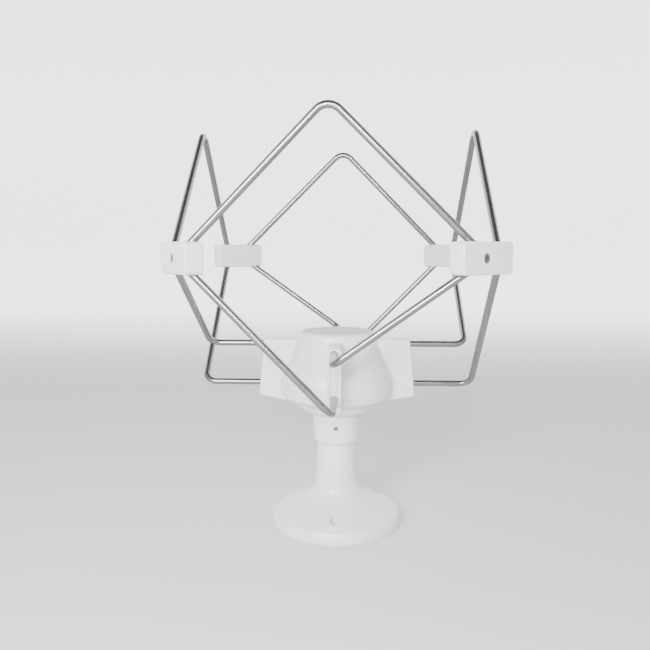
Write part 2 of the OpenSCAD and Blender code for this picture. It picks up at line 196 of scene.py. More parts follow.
def applyModifiers(piece):
    bpy.context.view_layer.update()
    graph = bpy.context.evaluated_depsgraph_get()
    mesh = bpy.data.meshes.new_from_object(piece.evaluated_get(graph), depsgraph=graph)
    old = piece.data
    piece.modifiers.clear()
    piece.data = mesh
    bpy.data.meshes.remove(old)


def carve(piece, tools, operation="DIFFERENCE"):  # cuts away or joins on closed shapes, one by one
    for bm in tools:
        tool = toObject(bm, "tool")
        modifier = piece.modifiers.new("carve", "BOOLEAN")
        modifier.operation = operation
        modifier.object = tool
        applyModifiers(piece)
        mesh = tool.data
        bpy.data.objects.remove(tool)
        bpy.data.meshes.remove(mesh)


def finishPiece(piece, name, slotName, body, replaced, angle=32, material=None):
    piece.name = name
    piece.data.name = name
    piece.data.materials.clear()
    piece.data.materials.append(material or materials[slotName])
    piece.data.shade_smooth()
    piece.data.set_sharp_from_angle(angle=radians(angle))
    modifier = piece.modifiers.new("normals", "WEIGHTED_NORMAL")
    modifier.keep_sharp = True
    applyModifiers(piece)
    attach(piece, body)
    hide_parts(*replaced)


def turnedCopy(piece, turns):  # a copy turned about the centre line, with the turn in its mesh
    copy = bpy.data.objects.new(piece.name, piece.data.copy())
    bpy.context.scene.collection.objects.link(copy)
    copy.data.transform(Matrix.Rotation(quarter * turns, 4, "Z"))
    return copy


# materials

def startMaterial(name):
    material = bpy.data.materials.new(name)
    material.use_nodes = True
    tree = material.node_tree
    return material, tree, tree.nodes["Principled BSDF"]


def noise(tree, coordinates, scale, detail=3.0):
    node = tree.nodes.new("ShaderNodeTexNoise")
    node.inputs["Scale"].default_value = scale
    node.inputs["Detail"].default_value = detail
    tree.links.new(coordinates, node.inputs["Vector"])
    return node.outputs["Fac"]


def blendColour(tree, factor, dark, light, low=0.35, high=0.65):
    ramp = tree.nodes.new("ShaderNodeValToRGB")
    ramp.color_ramp.elements[0].position = low
    ramp.color_ramp.elements[1].position = high
    ramp.color_ramp.elements[0].color = (*dark, 1)
    ramp.color_ramp.elements[1].color = (*light, 1)
    tree.links.new(factor, ramp.inputs["Fac"])
    return ramp.outputs["Color"]


def spread(tree, factor, low, high):
    node = tree.nodes.new("ShaderNodeMapRange")
    node.inputs["From Min"].default_value = 0.3
    node.inputs["From Max"].default_value = 0.7
    node.inputs["To Min"].default_value = low
    node.inputs["To Max"].default_value = high
    tree.links.new(factor, node.inputs["Value"])
    return node.outputs["Result"]


def relief(tree, shader, height, strength, distance):
    node = tree.nodes.new("ShaderNodeBump")
    node.inputs["Strength"].default_value = strength
    node.inputs["Distance"].default_value = distance
    tree.links.new(height, node.inputs["Height"])
    tree.links.new(node.outputs["Normal"], shader.inputs["Normal"])


grainDepth = {"moulded": 0.0002, "drawn": 0.00005}  # in metres


def surface(name, look):  # an even finish with soft mottling, a fine grain and uneven gloss
    material, tree, shader = startMaterial(name)
    place = tree.nodes.new("ShaderNodeTexCoord").outputs["Object"]
    colour = blendColour(tree, noise(tree, place, look["mottle"]), look["dark"], look["light"])
    tree.links.new(colour, shader.inputs["Base Color"])
    gloss = spread(tree, noise(tree, place, look["smudge"], 4), *look["roughness"])
    tree.links.new(gloss, shader.inputs["Roughness"])
    relief(tree, shader, noise(tree, place, look["grain"], 2), look["bump"], grainDepth["moulded"])
    shader.inputs["Metallic"].default_value = look.get("metallic", 0)
    shader.inputs["Specular IOR Level"].default_value = look.get("specular", 0.5)
    return material


def drawnRod(name, look):  # metal with fine drawing lines that run along the bar
    material, tree, shader = startMaterial(name)
    attribute = tree.nodes.new("ShaderNodeAttribute")
    attribute.attribute_name = "rodSpace"
    stretch = tree.nodes.new("ShaderNodeMapping")
    stretch.inputs["Scale"].default_value = (look["lines"], look["lines"], look["along"])
    tree.links.new(attribute.outputs["Vector"], stretch.inputs["Vector"])
    lines = noise(tree, stretch.outputs["Vector"], 1, 5)
    place = tree.nodes.new("ShaderNodeTexCoord").outputs["Object"]
    tree.links.new(blendColour(tree, lines, look["dark"], look["light"]), shader.inputs["Base Color"])
    gloss = spread(tree, noise(tree, place, look["smudge"], 4), *look["roughness"])
    tree.links.new(gloss, shader.inputs["Roughness"])
    relief(tree, shader, lines, look["bump"], grainDepth["drawn"])
    shader.inputs["Metallic"].default_value = 1
    return material


finishes = {  # mottle, smudge and grain are noise scales per metre, and colours are linear
    "white_plastic": {"dark": (0.69, 0.69, 0.685), "light": (0.73, 0.73, 0.725), "mottle": 35,
                      "smudge": 110, "roughness": (0.22, 0.31), "grain": 2600, "bump": 0.10,
                      "specular": 0.45},
    "clip_plastic": {"dark": (0.70, 0.70, 0.695), "light": (0.74, 0.74, 0.735), "mottle": 60,
                     "smudge": 160, "roughness": (0.20, 0.28), "grain": 2600, "bump": 0.08},
    "strip_plastic": {"dark": (0.61, 0.61, 0.605), "light": (0.66, 0.66, 0.655), "mottle": 80,
                      "smudge": 200, "roughness": (0.38, 0.48), "grain": 2200, "bump": 0.15},
    "screw_steel": {"dark": (0.20, 0.20, 0.21), "light": (0.30, 0.30, 0.31), "mottle": 500,
                    "smudge": 900, "roughness": (0.28, 0.42), "grain": 4000, "bump": 0.2, "metallic": 1},
    "terminal_brass": {"dark": (0.58, 0.42, 0.19), "light": (0.70, 0.53, 0.27), "mottle": 220,
                       "smudge": 500, "roughness": (0.25, 0.4), "grain": 3000, "bump": 0.2, "metallic": 1},
    "socket_plating": {"dark": (0.62, 0.60, 0.56), "light": (0.74, 0.72, 0.68), "mottle": 260,
                       "smudge": 600, "roughness": (0.16, 0.3), "grain": 3500, "bump": 0.1, "metallic": 1},
    "copper_wire": {"dark": (0.48, 0.20, 0.09), "light": (0.62, 0.29, 0.14), "mottle": 400,
                    "smudge": 700, "roughness": (0.25, 0.38), "grain": 4000, "bump": 0.1, "metallic": 1},
    "board_laminate": {"dark": (0.03, 0.15, 0.06), "light": (0.06, 0.24, 0.10), "mottle": 300,
                       "smudge": 240, "roughness": (0.3, 0.45), "grain": 3000, "bump": 0.25},
    "ferrite": {"dark": (0.035, 0.035, 0.037), "light": (0.06, 0.06, 0.062), "mottle": 500,
                "smudge": 400, "roughness": (0.5, 0.65), "grain": 5000, "bump": 0.4},
    "component_body": {"dark": (0.52, 0.30, 0.10), "light": (0.64, 0.40, 0.15), "mottle": 300,
                       "smudge": 300, "roughness": (0.3, 0.42), "grain": 3000, "bump": 0.2},
    "gasket_rubber": {"dark": (0.03, 0.03, 0.03), "light": (0.05, 0.05, 0.05), "mottle": 400,
                      "smudge": 300, "roughness": (0.6, 0.75), "grain": 4000, "bump": 0.3},
}
materials = {name: surface(name, look) for name, look in finishes.items()}
# the dome's flat top: a rougher finish, and a darker base colour that is painted shade
roughShadedTop = {"Roughness": 0.55, "Base Color": (0.54, 0.54, 0.535, 1), "fade": 0.0003}  # fade in metres


def roughTopWithPaintedShade(material, level):  # a rougher, spark-eroded finish above a height, as on the flat top of the dome, and a darker base colour there that is painted shade, as the top faces away from the front light
    tree = material.node_tree
    shader = tree.nodes["Principled BSDF"]
    height = tree.nodes.new("ShaderNodeSeparateXYZ")
    tree.links.new(tree.nodes.new("ShaderNodeTexCoord").outputs["Object"], height.inputs[0])
    mask = tree.nodes.new("ShaderNodeMapRange")
    mask.inputs["From Min"].default_value = level - roughShadedTop["fade"]
    mask.inputs["From Max"].default_value = level
    tree.links.new(height.outputs["Z"], mask.inputs["Value"])
    for socket, kind in (("Roughness", "FLOAT"), ("Base Color", "RGBA")):
        mix = tree.nodes.new("ShaderNodeMix")
        mix.data_type = kind
        ends = [s for s in mix.inputs if s.enabled and s.name in ("A", "B")]
        tree.links.new(shader.inputs[socket].links[0].from_socket, ends[0])
        ends[1].default_value = roughShadedTop[socket]
        tree.links.new(mask.outputs["Result"], mix.inputs["Factor"])
        tree.links.new([s for s in mix.outputs if s.enabled][0], shader.inputs[socket])


# the cover's material: white plastic with painted shade, a darker base colour, on its flat top
materials["cover_plastic_painted_top_shade"] = surface("cover_plastic_painted_top_shade", finishes["white_plastic"])
roughTopWithPaintedShade(materials["cover_plastic_painted_top_shade"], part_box("head_cover")[1].z - 0.0001)
rodLook = {"dark": (0.20, 0.20, 0.204), "light": (0.27, 0.27, 0.275), "lines": 2600, "along": 25,
           "smudge": 60, "roughness": (0.22, 0.30), "bump": 0.08}
materials["rod_aluminium"] = drawnRod("rod_aluminium", rodLook)
slotOfNode = {entry["node"]: entry["material_slot"] for entry in frame["record"]["subparts"]}
for nodeName, nodeObject in frame["nodes"].items():
    nodeObject.data.materials.clear()
    nodeObject.data.materials.append(materials[slotOfNode[nodeName]])
print("materials made:", len(materials))


# loops: four bent rods

loop = {  # in mm, on the front side
    "rodRadius": 2.5, "rodX": -0.5, "innerEnd": 18.5, "plane": 105,
    "lowerOut": 107, "lowerZ": 114.3, "upperOut": 102, "upperZ": 146.1,
    "leftReach": 99.1, "rightReach": 95.9, "cornerZ": 215.2, "apexShift": 3.2, "apexZ": 313.1,
    "cornerBend": 10.5, "terminalBend": 9,
}


def loopPath():
    p = loop
    places = [
        (p["rodX"], -p["innerEnd"], p["lowerZ"]), (p["rodX"], -p["lowerOut"], p["lowerZ"]),
        (-p["leftReach"], -p["plane"], p["cornerZ"]), (-p["apexShift"], -p["plane"], p["apexZ"]),
        (p["rightReach"], -p["plane"], p["cornerZ"]), (p["rodX"], -p["upperOut"], p["upperZ"]),
        (p["rodX"], -p["innerEnd"], p["upperZ"]),
    ]
    bends = [0, p["terminalBend"], p["cornerBend"], p["cornerBend"], p["cornerBend"], p["terminalBend"], 0]
    return [Vector(place) * mm for place in places], [bend * mm for bend in bends]


def addRodSpace(mesh, path):  # each point's offset from the rod's centre line, and its distance along it
    lengths = [0]
    for a, b in zip(path, path[1:]):
        lengths.append(lengths[-1] + (b - a).length)
    attribute = mesh.attributes.new("rodSpace", "FLOAT_VECTOR", "POINT")
    for i, v in enumerate(mesh.vertices):
        best = None
        for n, (a, b) in enumerate(zip(path, path[1:])):
            leg = b - a
            t = min(1, max(0, (v.co - a).dot(leg) / leg.length_squared))
            offset = v.co - (a + leg * t)
            if best is None or offset.length < best[0].length:
                best = (offset, leg.normalized(), lengths[n] + leg.length * t)
        across = Vector((0, 1, 0)) if abs(best[1].y) < 0.7 else Vector((1, 0, 0))
        side = best[1].cross(across)
        attribute.data[i].vector = (best[0].dot(across), best[0].dot(side), best[2])


def makeLoops():
    path, bends = loopPath()
    first = toObject(bentTube(path, bends, loop["rodRadius"] * mm, 40, 16), "loop")
    addRodSpace(first.data, path)
    for k, side in enumerate(sides):
        piece = turnedCopy(first, k)
        finishPiece(piece, "loop_rod_" + side, "rod_aluminium", "head", ["element_" + side], 60)
    bpy.data.objects.remove(first)


makeLoops()
print("loops made")


# head: cover and tray share one plan, a round skirt with four narrow wings

head = {  # in mm
    "seamZ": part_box("head_cover")[0].z / mm, "topZ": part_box("head_cover")[1].z / mm,
    "skirt": 44.2, "halfWing": 4.9, "reach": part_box("head_cover")[1].x / mm, "reachTop": 58.1,
    "wingTop": 150.7, "noseRound": 2.3, "edgeRound": 3.2, "corner": 0.9, "fillet": 3.2,
    "seamChamfer": 0.35, "wall": 1.6, "slotWidth": 5.2, "slotMouth": 0.8, "stripSink": 0.4,
    "stripBack": 1.8, "stripGap": 0.15, "stripEdge": 0.3, "rodGap": 0.06, "roughShadedTop": 26.3, "topRound": 4,
    "wingLevels": [114, 118, 122, 126, 130, 134, 138, 142, 145.5], "neckLevels": [151.6, 152.6],
    "slotIn": 50, "slotOut": 66, "mouthAt": 56,
}
domeCurve = curve((head["skirt"], 114), (head["skirt"], 126), (31.4, 141), (30.24, 153.1), 40)


def halfOutline(reach, radius, half, fillet, corner):  # from a wing's middle round to the diagonal
    room = min(1, max(0.02, (reach - radius) / 12))
    fillet, corner = fillet * room, min(corner, 0.3 * max(0.1, reach - radius))
    filletX = sqrt((radius + fillet) ** 2 - (half + fillet) ** 2)
    lean = atan2(half + fillet, filletX)
    endX = reach - corner
    points = [(reach, (half - corner) * i / 3) for i in range(3)]
    points += arc((endX, half - corner), corner, 0, 90, 4)
    points += [(endX + (filletX - endX) * i / 8, half) for i in range(1, 8)]
    points += arc((filletX, half + fillet), fillet, -90, -180 + lean * 180 / pi, 6)
    turns = [lean + (pi / 4 - lean) * i / 9 for i in range(1, 10)]
    points += [(radius * cos(a), radius * sin(a)) for a in turns]
    return points


rootIndex = 3 + 5 + 7 + 6  # the place in a half outline where the fillet meets the round skirt


def planRing(z, reach, radius, half, fillet, corner):  # the whole outline at one height, in metres
    side = halfOutline(reach, radius, half, fillet, corner)
    sector = [(x, -y) for x, y in reversed(side[1:])] + side[:-1]
    ring = []
    for k in range(4):
        c, s = round(cos(quarter * k)), round(sin(quarter * k))
        ring += [Vector((c * x - s * y, s * x + c * y, z)) * mm for x, y in sector]
    return ring


def roundRing(z, radius, directions):  # a circle with the same points, seen from the centre line
    return [Vector((d.x * radius, d.y * radius, z)) * mm for d in directions]


def wingReachAt(z):
    t = (z - head["seamZ"]) / (head["wingTop"] - head["seamZ"])
    return head["reach"] + (head["reachTop"] - head["reach"]) * t


def roundedOff(z, top, radius):  # how far an edge of this radius has drawn in at a height
    into = z - (top - radius)
    return 0 if into <= 0 else radius - sqrt(max(0, radius * radius - into * into))


def makeCover():
    seam, top = head["seamZ"], head["wingTop"]
    heights = [seam + 0.4] + head["wingLevels"]
    heights += [top - head["noseRound"] * (1 - sin(radians(a))) for a in range(0, 91, 10)]
    c = head["seamChamfer"]
    rings = [planRing(seam, head["reach"] - c, head["skirt"] - c, head["halfWing"] - c, head["fillet"],
                      head["corner"])]
    for z in heights:
        drawn = roundedOff(z, top, head["edgeRound"])
        reach = wingReachAt(z) - roundedOff(z, top, head["noseRound"])
        radius = head["skirt"] if z <= domeCurve[0][1] else heightAlong(domeCurve, z)
        rings.append(planRing(z, reach, radius, head["halfWing"] - drawn, head["fillet"], head["corner"]))
    bm, ring = loft(rings)
    circle = closeWingTops(bm, ring, radius, top)
    directions = [Vector((v.co.x, v.co.y)).normalized() for v in circle]
    levels = [(heightAlong(domeCurve, z), z) for z in head["neckLevels"]]
    levels += arc((head["roughShadedTop"], head["topZ"] - head["topRound"]), head["topRound"], 10, 90, 10)
    for r, z in levels:
        circle = extrudeRing(bm, circle, roundRing(z, r, directions))
    bmesh.ops.contextual_create(bm, geom=[bm.edges.get(p) for p in zip(circle, circle[1:] + circle[:1])])
    bmesh.ops.recalc_face_normals(bm, faces=bm.faces)
    cover = toObject(bm, "cover")
    wall = cover.modifiers.new("wall", "SOLIDIFY")
    wall.thickness = head["wall"] * mm
    wall.offset = -1
    wall.use_even_offset = True
    applyModifiers(cover)
    carve(cover, [slotPrism(k, head["slotIn"], head["slotOut"]) for k in range(4)])
    carve(cover, [slotMouth(k) for k in range(4)])
    finishPiece(cover, "cover", "white_plastic", "head", ["head_cover"], material=materials["cover_plastic_painted_top_shade"])


def closeWingTops(bm, ring, radius, z):  # flat tops on the wings; gives the circle under the dome
    size = len(ring) // 4
    half = size // 2
    lean = atan2(ring[half + rootIndex].co.y, ring[half + rootIndex].co.x)
    circle = []
    for k in range(4):
        start, end = k * size + half - rootIndex, k * size + half + rootIndex
        turns = [quarter * k - lean + 2 * lean * i / 6 for i in range(1, 6)]
        root = [bm.verts.new(Vector((radius * cos(a), radius * sin(a), z)) * mm) for a in turns]
        chain = [ring[start]] + root + [ring[end]]
        for pair in zip(chain, chain[1:]):
            bm.edges.new(pair)
        bm.faces.new(ring[start:end + 1] + root[::-1])
        following = (start + size) % len(ring)
        rest = ring[end:following] if following > end else ring[end:] + ring[:following]
        circle += chain[:-1] + rest
    return circle


def slotPrism(k, near, far):  # a round-topped bar along wing k, from near to far
    bm = bmesh.new()
    top, bottom = loop["upperZ"], head["seamZ"] - 3
    rodX, half = loop["rodX"], head["slotWidth"] / 2
    side = bm.verts.new(Vector((rodX - half, -near, top)) * mm)
    bmesh.ops.spin(bm, geom=[side], cent=Vector((rodX, -near, top)) * mm, axis=(0, 1, 0), angle=pi, steps=20)
    bm.verts.ensure_lookup_table()
    ends = [v for v in bm.verts if len(v.link_edges) == 1]
    feet = [bm.verts.new((v.co.x, v.co.y, bottom * mm)) for v in ends]
    for pair in list(zip(ends, feet)) + [tuple(feet)]:
        bm.edges.new(pair)
    bmesh.ops.contextual_create(bm, geom=bm.edges[:])
    made = bmesh.ops.extrude_face_region(bm, geom=bm.faces[:])["geom"]
    bmesh.ops.translate(bm, verts=vertsOf(made), vec=Vector((0, near - far, 0)) * mm)
    bmesh.ops.recalc_face_normals(bm, faces=bm.faces)
    turnMesh(bm, quarter * k)
    return bm


def slotMouth(k):  # takes the sharp edge off a slot, all the way round
    bm = slotPrism(0, head["mouthAt"] - 1, head["mouthAt"] + 1)
    soft = head["slotMouth"]
    middle = Vector((loop["rodX"], 0, loop["upperZ"])) * mm
    for v in bm.verts:
        outer = v.co.y < -head["mouthAt"] * mm
        face = wingReachAt(v.co.z / mm)
        if outer:  # wider outside, on the arch as on the sides
            away = Vector((v.co.x - middle.x, 0, max(0, v.co.z - middle.z)))
            v.co += away.normalized() * 2 * soft * mm
        v.co.y = -(face + (soft if outer else -soft)) * mm
    turnMesh(bm, quarter * k)
    return bm


def makeStrips():  # the strips that close the slots round the rods
    seam, top = head["seamZ"], loop["upperZ"]
    bm = block()
    for v in bm.verts:  # leans with the wing's end, a little sunk
        z = top if v.co.z > 0 else seam + 0.3
        out = wingReachAt(z) - (head["stripSink"] if v.co.y < 0 else head["stripBack"])
        v.co = Vector((loop["rodX"] + v.co.x * (head["slotWidth"] - head["stripGap"]), -out, z)) * mm
    outer = [e for e in bm.edges if all(v.co.y < -(wingReachAt(v.co.z / mm) - 0.8) * mm for v in e.verts)]
    soften(bm, outer, head["stripEdge"], 3)
    bmesh.ops.recalc_face_normals(bm, faces=bm.faces)
    first = toObject(bm, "strip")
    radius = (loop["rodRadius"] + head["rodGap"]) * mm
    x = loop["rodX"]
    ends = [(Vector((x, -40, z)) * mm, Vector((x, -70, z)) * mm) for z in (loop["lowerZ"], loop["upperZ"])]
    carve(first, [rod(a, b, radius) for a, b in ends])
    for k, side in enumerate(sides):
        piece = turnedCopy(first, k)
        finishPiece(piece, "slot_cover_" + side, "strip_plastic", "head", ["slot_strip_" + side])
    bpy.data.objects.remove(first)


makeCover()
makeStrips()
print("cover and slot strips made")

tray = {  # in mm
    "wingFloorOut": 104.7, "wingFloorIn": 99, "wingIn": 33, "reachOver": 0.2, "seamGap": 0.05,
    "levels": [107.6, 106.2, 105.4, 104.95, 104.6, 104.2, 103.6, 103, 102.3, 101.6, 100.9, 100.3, 99.8,
               99.4],
    "bowlBottom": 98.9, "collar": 18.9, "collarBottom": 66.5, "collarRound": 3.5, "bore": 14.2,
    "ceiling": 91.3, "floor": 94, "socketHole": 5.3, "wall": 1.6,
    "inside": [  # height, reach into the wings, radius
        (103, 35.9, 35.3), (104, 42.3, 37), (105, 48.9, 38.6), (106, 55.6, 40.3), (106.7, 60.2, 41.5),
        (107.2, 60.2, 42.2),
    ],
    "screwRing": 35.5, "screwSeat": 104.4, "bossRadius": 4.6, "headHole": 3.3, "shankHole": 1.5,
    "lockZ": 80.8, "lockHole": 1.75,
}
bowl = curve((44.2, 106.2), (43.2, 103.4), (37, 101.4), (33, 98.8), 14)
bowl += curve((33, 98.8), (30.6, 95), (27, 91.9), (19.9, 91), 12)[1:]


def trayReachAt(z):
    full = head["reach"] + tray["reachOver"]
    slope = (full - tray["wingIn"]) / (tray["wingFloorOut"] - tray["wingFloorIn"])
    return min(full, tray["wingIn"] + (z - tray["wingFloorIn"]) * slope)


def trayInside():  # the collar's outside, its bore and the tray's floor, as (radius, height)
    collar, low, bend, bore = tray["collar"], tray["collarBottom"], tray["collarRound"], tray["bore"]
    points = [p for p in bowl if p[1] < tray["bowlBottom"]] + arc((collar + 1, 90), 1, 90, 180, 6)[1:]
    points += [(collar, 85), (collar, 75)] + arc((collar - bend, low + bend), bend, 0, -84, 10)
    points += [(bore + 0.5, low), (bore, low + 0.5), (bore, tray["ceiling"])]
    points += [(tray["socketHole"], tray["ceiling"]), (tray["socketHole"], tray["floor"])]
    return points + [(22.5, tray["floor"]), (27.6, 96), (31.2, 100.6), (34.6, 102.6)]


def makeTray():
    rim = head["seamZ"] - tray["seamGap"]
    half, fillet, corner, c = head["halfWing"], head["fillet"], head["corner"], head["seamChamfer"]
    reach = head["reach"] + tray["reachOver"] - c
    rings = [planRing(rim, reach, head["skirt"] - c, half - c, fillet, corner)]
    for z in [rim - c] + tray["levels"]:
        radius = head["skirt"] if z >= bowl[0][1] else heightAlong(bowl, z)
        rings.append(planRing(z, trayReachAt(z), radius, half, fillet, corner))
    directions = [Vector((v.x, v.y)).normalized() for v in rings[-1]]
    rings += [roundRing(z, r, directions) for r, z in trayInside()]
    for z, reach, radius in tray["inside"] + [(rim,) + tray["inside"][-1][1:]]:
        rings.append(planRing(z, reach, radius, half - tray["wall"], 2.4, 0.6))
    bm = loft(rings + [rings[0]])[0]
    bmesh.ops.remove_doubles(bm, verts=bm.verts, dist=1e-7)
    bmesh.ops.recalc_face_normals(bm, faces=bm.faces)
    piece = toObject(bm, "tray")
    carve(piece, [screwBoss(k) for k in range(4)], "UNION")
    for k in range(4):
        at, seat = outwards(quarter * (k + 0.5), tray["screwRing"]), tray["screwSeat"]
        carve(piece, [rod(above(at, 90), above(at, seat), tray["headHole"] * mm),
                      rod(above(at, seat - 1), above(at, head["seamZ"] + 2), tray["shankHole"] * mm)])
    near, far = (Vector((0, y, tray["lockZ"])) * mm for y in (-10, -25))
    carve(piece, [rod(near, far, tray["lockHole"] * mm)])
    finishPiece(piece, "tray", "white_plastic", "head", ["head_tray"])


def screwBoss(k):  # a post that stands on the tray's sloping wall
    at = outwards(quarter * (k + 0.5), tray["screwRing"])
    bm = rod(above(at, 95), above(at, head["seamZ"] - 0.1), tray["bossRadius"] * mm)
    for v in bm.verts:
        if v.co.z < 0.1:
            v.co.z = (heightAlong(bowl, hypot(v.co.x, v.co.y) / mm, 0, 1) + 0.9) * mm
    return bm


makeTray()
print("tray made")


# pedestal: one hollow moulding, turned, with bosses and counterbores

foot = {  # in mm
    "radius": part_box("pedestal")[1].x / mm, "neck": 15.5, "neckTop": 66.4, "spigot": 14.1, "spigotTop": 87,
    "grooveZ": 80.8, "grooveDepth": 1.2, "grooveWidth": 5, "bore": 11.4, "holeRing": 40, "holeRadius": 2.25,
    "seatZ": 10.5, "headRadius": 4.3, "bossRadius": 6.4, "ribThick": 1.8, "ribStart": 17, "wall": 1.1,
}


def footOutline():  # from the ground up the outside to the spigot's top, as (radius, height)
    r, n, s = foot["radius"], foot["neck"], foot["spigot"]
    points = arc((r - 0.9, 0.6), 0.6, -90, 0, 4)
    points += curve((r - 0.02, 2), (r, 5.2), (r - 0.5, 7.3), (r - 1.7, 9), 12) + [(r - 1.95, 9.25)]
    points += curve((r - 2.3, 9.5), (39, 18.4), (19, 18), (17.6, 34), 30)
    points += [(16.7, 40), (16.2, 50), (n + 0.2, 60.4)]
    points += [(n + 0.1, 60.8), (n - 0.25, 61.15), (n - 0.3, 61.5)]  # a fine groove round the neck
    points += [(n - 0.25, 61.85), (n + 0.05, 62.2), (n + 0.1, 62.6)]
    points += arc((n - 0.5, foot["neckTop"] - 0.5), 0.5, 0, 90, 4) + [(s + 0.05, foot["neckTop"])]
    deep = s - foot["grooveDepth"]
    low, high = foot["grooveZ"] - foot["grooveWidth"] / 2, foot["grooveZ"] + foot["grooveWidth"] / 2
    points += [(s, low - 0.2), (s - 0.2, low), (deep, low), (deep, high), (s - 0.2, high), (s, high + 0.2)]
    return points + arc((s - 0.8, foot["spigotTop"] - 0.8), 0.8, 0, 90, 5)


def footHollow():
    r, b, top = foot["radius"], foot["bore"], foot["spigotTop"]
    points = [(b + 0.4, top), (b, top - 0.4), (b, 76), (12, 58), (13.6, 46)]
    points += curve((15, 34), (16.6, 15.4), (37.5, 16), (r - 4.6, 7.6), 24)
    return points + [(r - 2.9, 6), (r - 2.5, 4.5), (r - 2.5, 0.5), (r - 2, 0)]


def footSlope():  # the flared part of the outline
    return [p for p in footOutline() if 9.5 < p[1] < 40]


def makePedestal():
    piece = toObject(lathe(footOutline() + footHollow(), 144), "pedestal")
    slope = footSlope()
    places = [outwards(radians(-90 + 120 * k), foot["holeRing"]) for k in range(3)]
    bosses = []
    for at in places:
        bm = rod(at * mm, above(at, 12), foot["bossRadius"] * mm)
        for v in bm.verts:
            if v.co.z > 0.001:
                v.co.z = (heightAlong(slope, hypot(v.co.x, v.co.y) / mm, 0, 1) - foot["wall"]) * mm
        bosses.append(bm)
    carve(piece, bosses + [footRib(k) for k in range(3)], "UNION")
    for at in places:
        seat = foot["seatZ"]
        carve(piece, [rod(above(at, -2), above(at, seat + 1), foot["holeRadius"] * mm),
                      rod(above(at, seat), above(at, seat + 14), foot["headRadius"] * mm)])
    finishPiece(piece, "pedestal", "white_plastic", "pedestal", ["pedestal"], 28)


def footRib(k):  # a thin wall inside the foot, from the stem to the rim
    bm = block()
    long = [e for e in bm.edges if abs(e.verts[0].co.x - e.verts[1].co.x) > 0.5]
    bmesh.ops.subdivide_edges(bm, edges=long, cuts=12, use_grid_fill=True)
    slope = footSlope() + [(foot["radius"] - 1.5, 8.2)]
    near, far = foot["ribStart"], foot["radius"] - 1.6
    for v in bm.verts:
        x = near + (v.co.x + 0.5) * (far - near)
        top = heightAlong(slope, x, 0, 1) - foot["wall"] if x > near + 0.7 else 30
        v.co = Vector((x, v.co.y * foot["ribThick"], top if v.co.z > 0 else 3)) * mm
    turnMesh(bm, radians(-30 + 120 * k))
    bmesh.ops.recalc_face_normals(bm, faces=bm.faces)
    return bm


makePedestal()
print("pedestal made")


# corner clips: two halves each, closed by a cross-head screw

clip = {  # in mm, the outward face looks along -Y before the clip is turned
    "length": 44.6, "thick": 12.6, "height": 20.8, "edge": 1.4, "faceCorner": 3, "turn": 36, "seam": 0.3,
    "screwX": -1.6, "recess": 3.3, "recessDepth": 2.1, "recessSoft": 0.4, "rodGap": 0.14,
}


def clipPlace(k, corner):  # a clip's middle comes from its two CAD halves
    boxes = [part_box("clip_%s_%s" % (part, corner)) for part in ("outer", "inner")]
    low = Vector(map(min, *(b[0] for b in boxes)))
    high = Vector(map(max, *(b[1] for b in boxes)))
    turn = Matrix.Rotation(radians(clip["turn"] + 90 * k), 4, "Z")
    return Matrix.Translation((low + high) / 2) @ turn


def clipBlock(outward, place):  # one half, with a fine bevel where the halves meet
    bm = block((clip["length"], clip["thick"], clip["height"]))
    upright = [e for e in bm.edges if abs(e.verts[0].co.y - e.verts[1].co.y) > 5 * mm]
    soften(bm, upright, clip["faceCorner"], 8)
    half = clip["thick"] / 2 * mm
    rims = [e for e in bm.edges if all(abs(abs(v.co.y) - half) < 1e-6 for v in e.verts)
            and e.verts[0].co.y * e.verts[1].co.y > 0]
    soften(bm, rims, clip["edge"], 6)
    bmesh.ops.bisect_plane(bm, geom=bm.verts[:] + bm.edges[:] + bm.faces[:], dist=1e-7, plane_co=(0, 0, 0),
                           plane_no=(0, outward, 0), clear_outer=False, clear_inner=True)
    rim = [e for e in bm.edges if e.is_boundary]
    bmesh.ops.holes_fill(bm, edges=rim, sides=0)
    soften(bm, rim, clip["seam"], 2)
    bmesh.ops.recalc_face_normals(bm, faces=bm.faces)
    bmesh.ops.transform(bm, matrix=place, verts=bm.verts)
    return bm


def clipChannels(k):  # the two rod corners that the clip holds
    path, bends = loopPath()
    tubes = []
    for i, turns in ((4, k), (2, k + 1)):
        reach = clip["length"] * mm
        legs = [path[i] + (path[n] - path[i]).normalized() * reach for n in (i - 1, i + 1)]
        radius = (loop["rodRadius"] + clip["rodGap"]) * mm
        bm = bentTube([legs[0], path[i], legs[1]], [0, bends[i], 0], radius)
        turnMesh(bm, quarter * turns)
        tubes.append(bm)
    return tubes


def clipRecess(place):  # a round sink with a soft mouth, for the screw's head
    r, soft, face = clip["recess"], clip["recessSoft"], -clip["thick"] / 2
    outline = [(0, -2), (r + soft, -2), (r + soft, 0)] + arc((r + soft, soft), soft, -90, -180, 5)[1:]
    bm = lathe(outline + [(r, clip["recessDepth"]), (0, clip["recessDepth"])], 48)
    inward = Matrix.Translation(Vector((clip["screwX"], face, 0)) * mm) @ Matrix.Rotation(-quarter, 4, "X")
    bmesh.ops.transform(bm, matrix=place @ inward, verts=bm.verts)
    return bm


def makeClips():
    screw = crossScrew(screwSizes["clip"])
    for k, corner in enumerate(corners):
        place = clipPlace(k, corner)
        for part, outward in (("outer", -1), ("inner", 1)):
            piece = toObject(clipBlock(outward, place), part)
            carve(piece, clipChannels(k))
            if part == "outer":
                carve(piece, [clipRecess(place)])
            half = "%s_%s" % (part, corner)
            finishPiece(piece, "corner_" + half, "clip_plastic", "head", ["clip_" + half])
        piece = turnedCopy(screw, 0)
        seat = Vector((clip["screwX"], clip["recessDepth"] - clip["thick"] / 2, 0)) * mm
        piece.data.transform(place @ Matrix.Translation(seat) @ Matrix.Rotation(-quarter, 4, "X"))
        finishPiece(piece, "corner_screw_" + corner, "screw_steel", "head", ["clip_screw_" + corner])
    bpy.data.objects.remove(screw)


